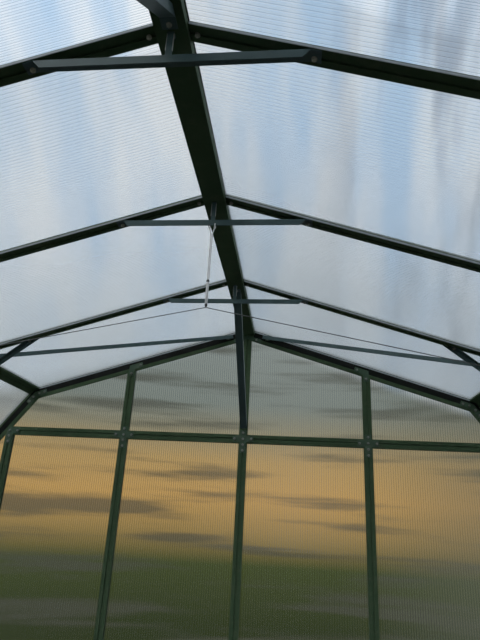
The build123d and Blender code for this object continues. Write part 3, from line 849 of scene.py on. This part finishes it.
beads = Shape()
beads.turned(moved(cord_line, 0, 0, bead_z), bead_profile(bead_radius * 1.25), sides=16)
end_bead = [(radius * 1.05, height * 1.5) for radius, height in bead_profile(bead_radius)]
beads.turned(moved(cord_line, 0, 0, end_bead_z + bead_radius * 0.5), end_bead, sides=16)
black_ring = [Vector((-ring_x + ring_half_x * math.cos(t), wire_y + ring_half_y * math.cos(t),
                      web_bottom - ring_drop + ring_radius * math.sin(t))) for t in loop_turns]
beads.tube(black_ring, ring_bar, sides=8, closed=True)
make("hanger_beads", beads, black_plastic)


# Door furniture: a moulded black bow handle on each leaf, screws at the frame's corners
# and mid rail, and the axle bolts of the rollers that run in the track.
SIDES = (("left", -1), ("right", 1))
screw_head = ((0.0045, 0), (0.0044, 0.0010), (0.0034, 0.0019), (0.0016, 0.0023))
handle_reach = 0.024
handle_from, handle_to = 0.96, 1.14
handle_radius = 0.006
handle_inset = 0.020
handle_foot = ((0.011, 0), (0.011, 0.002), (0.008, 0.0055))
bow_steps = 14
bow_fullness = 0.4
door_top = rail_z - 0.030
corner_screws = (0.012, 0.030)
midrail_screws = (0.893, 0.907)
roller_inset = 0.090
axle_z = rail_z - 0.004
axle_sink = 0.004
axle_end = ((0.0050, 0), (0.0050, 0.0030), (0.0044, 0.0036))

handles = Shape()
screws = Shape()
for name, side in SIDES:
    low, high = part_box(f"door_leaf_{name}")
    leaf = seat(Vector((0, low.y, 0)), ACROSS, Vector((0, -1, 0)))
    near_x, far_x = sorted((low.x, high.x), key=abs)
    grip_x = near_x + side * handle_inset
    bow = [leaf @ Vector((grip_x, handle_from + (handle_to - handle_from) * share,
                          handle_reach * math.sin(math.pi * share) ** bow_fullness))
           for share in [n / bow_steps for n in range(bow_steps + 1)]]
    handles.tube(bow, handle_radius, sides=12)
    for z in (handle_from, handle_to):
        handles.turned(moved(leaf, grip_x, z), handle_foot, sides=20)
    screw_heights = [low.z + rise for rise in corner_screws] + list(midrail_screws)
    screw_heights += [door_top - drop for drop in reversed(corner_screws)]
    for x in (near_x + side * handle_inset, far_x - side * handle_inset):
        for z in screw_heights:
            screws.turned(moved(leaf, x, z), screw_head, sides=14)
    for x in (near_x + side * roller_inset, far_x - side * roller_inset):
        screws.turned(moved(leaf, x, axle_z, -axle_sink), axle_end, sides=6)
make("door_handles", handles, black_plastic)
make("door_screws", screws, dull_zinc)


# Cap screws: pan heads along the outer caps that clamp the sheets to the bars, on the
# gable studs, the side posts and both slopes of the roof.
stud_screws = (0.25, 0.75, 1.25, 1.65)
rafter_screws = (0.20, 0.62, 1.02)
post_screws = (0.30, 0.85, 1.38)
roof_spots = [(upper_pitch, x, under_roof(x)) for x in rafter_screws]
roof_spots.append((lower_pitch, (knee_x + wall_x) / 2, (knee_z + eave_z) / 2))
roof_spots += [(wall_pitch, wall_x, z) for z in post_screws]
outer_faces = {
    "rear": seat(Vector((0, rear_face + skin_depth, 0)), Vector((-1, 0, 0)), ALONG),
    "front": seat(Vector((0, front_face - skin_depth, 0)), ACROSS, Vector((0, -1, 0))),
}

caps = Shape()
for gable, face in outer_faces.items():
    for n in (-2, -1, 0, 1, 2):
        if gable == "rear" or n != 0:
            for z in stud_screws:
                if z < eave_z or abs(n) < 2:
                    caps.turned(moved(face, n * stud_pitch, z), screw_head, sides=14)
for place in frame_places:
    for side in (-1, 1):
        for angle, x, z in roof_spots:
            outside = Vector((side * math.sin(angle), 0, math.cos(angle)))
            origin = Vector((side * x, place, z)) + outside * skin_depth
            caps.turned(seat(origin, ALONG, outside), screw_head, sides=14)
make("cap_screws", caps, dull_zinc)


# The sheets are twin-wall plastic: two thin skins 8 mm apart, joined by upright ribs
# every 11 mm that run down the slope. Each sheet is one extrusion with open cells.
rib_pitch = 0.011
skin_thickness = 0.0004
rib_thickness = 0.0007
tip_trim = 0.002
sheet_tone = (0.80, 0.86, 0.92, 1)
clear_skin = (0.985, 0.99, 0.995, 1)

outer = finish_of("sheet_outside")
gloss_edge = outer.add("ShaderNodeLayerWeight", None, {"Blend": 0.35}, "Fresnel")
sheet_outside = outer.done(outer.blend(
    gloss_edge * 0.25 + 0.025,
    outer.clear(clear_skin),
    outer.shader(Base_Color=sheet_tone, Roughness=0.18),
))
# Seen aslant the ribs scatter what lies behind, so the inner skin turns milky there.
inner = finish_of("sheet_inside")
aslant = inner.add("ShaderNodeLayerWeight", None, {"Blend": 0.5}, "Facing")
bloom = inner.noise(inner.scaled(inner.place(), (1.0, 0.45, 1.0)), scale=2.4, detail=3.0)
cloudy = inner.step(bloom, low=0.38, high=0.64)
milky = inner.add("ShaderNodeBsdfTranslucent", None, {"Color": (0.48, 0.49, 0.48, 1)})
sheet_inside = inner.done(inner.blend(
    inner.step(aslant, low=0.30, high=0.70) * (cloudy * -0.16 + 0.93) + 0.015,
    inner.clear(clear_skin),
    milky,
))
cell = finish_of("sheet_cell")
sheet_cell = cell.done(cell.clear((0.99, 0.992, 0.995, 1)))
rib = finish_of("sheet_rib")
sheet_rib = rib.done(rib.clear((0.97, 0.98, 0.985, 1)))
rib_skin = finish_of("sheet_rib_face")
rib_face = rib_skin.done(rib_skin.clear((0.68, 0.73, 0.78, 1)))
INSIDE, OUTSIDE, CELL, RIB, RIB_FACE = range(5)


def sheets_of(node):
    """The corners of each sheet in a node of the model."""
    solid = bmesh.new()
    solid.from_mesh(frame["nodes"][node].data)
    bmesh.ops.remove_doubles(solid, verts=solid.verts, dist=0.00002)
    waiting = set(solid.verts)
    sheets = []
    while waiting:
        border = [waiting.pop()]
        sheet = []
        while border:
            corner = border.pop()
            sheet.append(corner.co.copy())
            for edge in corner.link_edges:
                other = edge.other_vert(corner)
                if other in waiting:
                    waiting.remove(other)
                    border.append(other)
        sheets.append(sheet)
    solid.free()
    return sorted(sheets, key=lambda sheet: tuple(min(sheet)))


def span(corners, across):
    """The lowest and highest reach of a convex outline at one place across it."""
    heights = []
    for first in corners:
        for second in corners:
            if first[0] <= across <= second[0]:
                run = second[0] - first[0]
                share = (across - first[0]) / run if run > 1e-9 else 0
                heights.append(first[1] + share * (second[1] - first[1]))
    return min(heights), max(heights)


def twin_wall(name, node, across_axis, rib_axis):
    """Builds the node's sheets with their skins, ribs and open cells."""
    house_middle = Vector((0, 0, apex_z / 2))
    points = []
    quads = []
    looks = []
    for sheet in sheets_of(node):
        out_axis = across_axis.cross(rib_axis)
        if (sheet[0] - house_middle).dot(out_axis) < 0:
            out_axis = -out_axis
        corners = [(p.dot(across_axis), p.dot(rib_axis)) for p in sheet]
        depths = [p.dot(out_axis) for p in sheet]
        near, far = min(depths), max(depths)
        levels = (near, near + skin_thickness, far - skin_thickness, far)
        start, stop = min(c[0] for c in corners), max(c[0] for c in corners)
        starts, stops = span(corners, start), span(corners, stop)
        start += tip_trim if starts[1] - starts[0] < tip_trim else 0
        stop -= tip_trim if stops[1] - stops[0] < tip_trim else 0
        cells = round((stop - start) / rib_pitch)
        pitch = (stop - start) / cells
        columns = [start]
        for n in range(cells):
            columns += [start + n * pitch + rib_thickness, start + (n + 1) * pitch - rib_thickness]
        columns.append(stop)
        base = len(points)
        for across in columns:
            ends = span(corners, across)
            points += [across_axis * across + rib_axis * reach + out_axis * depth
                       for depth in levels for reach in ends]

        def rib_line(column, level):
            """The two ends of a line that runs the ribs' way."""
            first = base + (column * len(levels) + level) * 2
            return first, first + 1

        def quad(first, second, look):
            """A face between two lines."""
            quads.append((first[0], second[0], second[1], first[1]))
            looks.append(look)

        for column in range(len(columns) - 1):
            beside = column + 1
            hollow = column % 2 == 1
            for level, look in ((0, INSIDE), (3, OUTSIDE)):
                quad(rib_line(column, level), rib_line(beside, level), look if hollow else RIB_FACE)
            for level in ((0, 2) if hollow else (0, 1, 2)):
                for end in (0, 1):
                    quad((rib_line(column, level)[end], rib_line(column, level + 1)[end]),
                         (rib_line(beside, level)[end], rib_line(beside, level + 1)[end]), RIB)
            if hollow:
                for level in (1, 2):
                    quad(rib_line(column, level), rib_line(beside, level), CELL)
                for wall in (column, beside):
                    quad(rib_line(wall, 1), rib_line(wall, 2), RIB)
        for column in (0, len(columns) - 1):
            for level in (0, 1, 2):
                quad(rib_line(column, level), rib_line(column, level + 1), RIB)
    mesh = solid_mesh(name, points, quads)
    for material in (sheet_inside, sheet_outside, sheet_cell, sheet_rib, rib_face):
        mesh.materials.append(material)
    mesh.polygons.foreach_set("material_index", looks)
    piece = bpy.data.objects.new(name, mesh)
    bpy.context.scene.collection.objects.link(piece)
    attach(piece, "root")
    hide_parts(node)


for name, side in SIDES:
    twin_wall(f"upper_roof_sheets_{name}", f"upper_roof_glazing_{name}", ALONG, downhill(side, upper_pitch))
    twin_wall(f"lower_roof_sheets_{name}", f"lower_roof_glazing_{name}", ALONG, downhill(side, lower_pitch))
    twin_wall(f"side_sheets_{name}", f"side_glazing_{name}", ALONG, UPRIGHT)
twin_wall("rear_gable_sheets", "rear_gable_glazing", ACROSS, UPRIGHT)
twin_wall("front_gable_sheets", "front_gable_glazing", ACROSS, UPRIGHT)
twin_wall("door_sheets", "door_glazing", ACROSS, UPRIGHT)


# The stage: a plain pale floor that fades out far from the house, so that no hard line
# shows through the sheets. It throws little light up at the undersides of the bars.
floor_reach = 30.0
fade_from, fade_to = 3.4, 5.8

floor = finish_of("pale_floor")
floor_tone = floor.mix(floor.seen(), (0.025, 0.024, 0.02, 1), (0.40, 0.365, 0.28, 1))
floor_away = floor.add("ShaderNodeVectorMath", {"operation": "LENGTH"}, {0: floor.place()}, "Value")
pale_floor = floor.done(floor.blend(
    floor.step(floor_away, fade_from, fade_to),
    floor.shader(Base_Color=floor_tone, Roughness=0.9, Specular_IOR_Level=0.1),
    floor.clear((1, 1, 1, 1)),
))
floor_mesh = bpy.data.meshes.new("floor")
floor_corners = [(-floor_reach, -floor_reach, 0), (floor_reach, -floor_reach, 0),
                 (floor_reach, floor_reach, 0), (-floor_reach, floor_reach, 0)]
floor_mesh.from_pydata(floor_corners, [], [(0, 1, 2, 3)])
floor_mesh.materials.append(pale_floor)
floor_piece = bpy.data.objects.new("floor", floor_mesh)
bpy.context.scene.collection.objects.link(floor_piece)


# The sky is plain and pale where it is seen straight on. Through the sheets it is soft blue
# and white, drawn out along the house, with a grey band over a warm one at the rear gable.
pale = (0.62, 0.59, 0.53, 1)
low_stops = [(0.42, (0.030, 0.040, 0.010, 1)), (0.465, (0.055, 0.070, 0.018, 1)),
             (0.49, (0.30, 0.20, 0.065, 1)), (0.52, (0.50, 0.30, 0.095, 1)),
             (0.55, (0.44, 0.29, 0.11, 1)), (0.575, (0.27, 0.24, 0.15, 1)),
             (0.60, (0.20, 0.225, 0.195, 1)), (0.66, (0.24, 0.27, 0.25, 1))]

world = bpy.data.worlds.new("soft_sky")
bpy.context.scene.world = world
sky = Finish(world)
way = sky.add("ShaderNodeTexCoord", out="Generated")
sideways = sky.add("ShaderNodeSeparateXYZ", None, {"Vector": way}, "X")
beyond = sky.add("ShaderNodeSeparateXYZ", None, {"Vector": way}, "Y")
height = sky.add("ShaderNodeSeparateXYZ", None, {"Vector": way}, "Z")
puffs = sky.noise(sky.scaled(way, (5.0, 0.7, 1.1)), scale=1.7, detail=3.0)
overhead = sky.mix(sky.step(puffs, low=0.34, high=0.62), (0.56, 0.74, 0.94, 1), (0.95, 0.98, 1.0, 1))
smears = sky.noise(sky.scaled(way, (6.0, 0.8, 1.4)), scale=2.1, detail=4.0)
dim = sky.step(smears, low=0.42, high=0.60) * sky.step(sideways, low=-0.02, high=0.16) * 0.6
overhead = sky.mix(dim, overhead, (0.26, 0.30, 0.36, 1))
around_house = sky.mix(sky.step(height, low=0.0, high=0.22), pale, overhead)
low_band = sky.add("ShaderNodeValToRGB", {"stops": low_stops}, {"Fac": height * 0.5 + 0.5})
streaks = sky.noise(sky.scaled(way, (1.2, 1.2, 15.0)), scale=2.4, detail=4.0)
low_band = sky.mix(sky.step(streaks, low=0.47, high=0.66) * 0.7, low_band, (0.07, 0.07, 0.05, 1))
low_band = sky.mix(sky.step(sideways, low=0.06, high=0.34) * 0.5, low_band, (0.13, 0.135, 0.10, 1))
off_middle = sky.add("ShaderNodeMath", {"operation": "ABSOLUTE"}, {0: sideways + 0.09})
under_band = 1 - sky.step(off_middle * 0.36 + height, low=0.315, high=0.365)
low_share = sky.step(beyond, low=0.70, high=0.84) * under_band
patterned = sky.mix(low_share, around_house, low_band)
depth = sky.add("ShaderNodeLightPath", out="Transparent Depth")
shown = sky.mix(sky.step(depth, low=1.5, high=2.5), pale, patterned)
plain = sky.mix(sky.step(height, low=-0.02, high=0.05), (0.035, 0.035, 0.03, 1), (0.88, 0.93, 1.0, 1))
light = sky.mix(sky.seen(), plain, shown)
sky.done(sky.add("ShaderNodeBackground", None, {"Color": light, "Strength": 1.0}), "ShaderNodeOutputWorld")

sun_data = bpy.data.lights.new("soft_sun", "SUN")
sun_data.energy = 1.0
sun_data.angle = math.radians(25)
sun_data.color = (1.0, 0.97, 0.92)
sun = bpy.data.objects.new("soft_sun", sun_data)
bpy.context.scene.collection.objects.link(sun)
sun.rotation_euler = (math.radians(28), math.radians(-32), 0)

scene = bpy.context.scene
scene.view_settings.view_transform = "Standard"
scene.cycles.transparent_max_bounces = 64
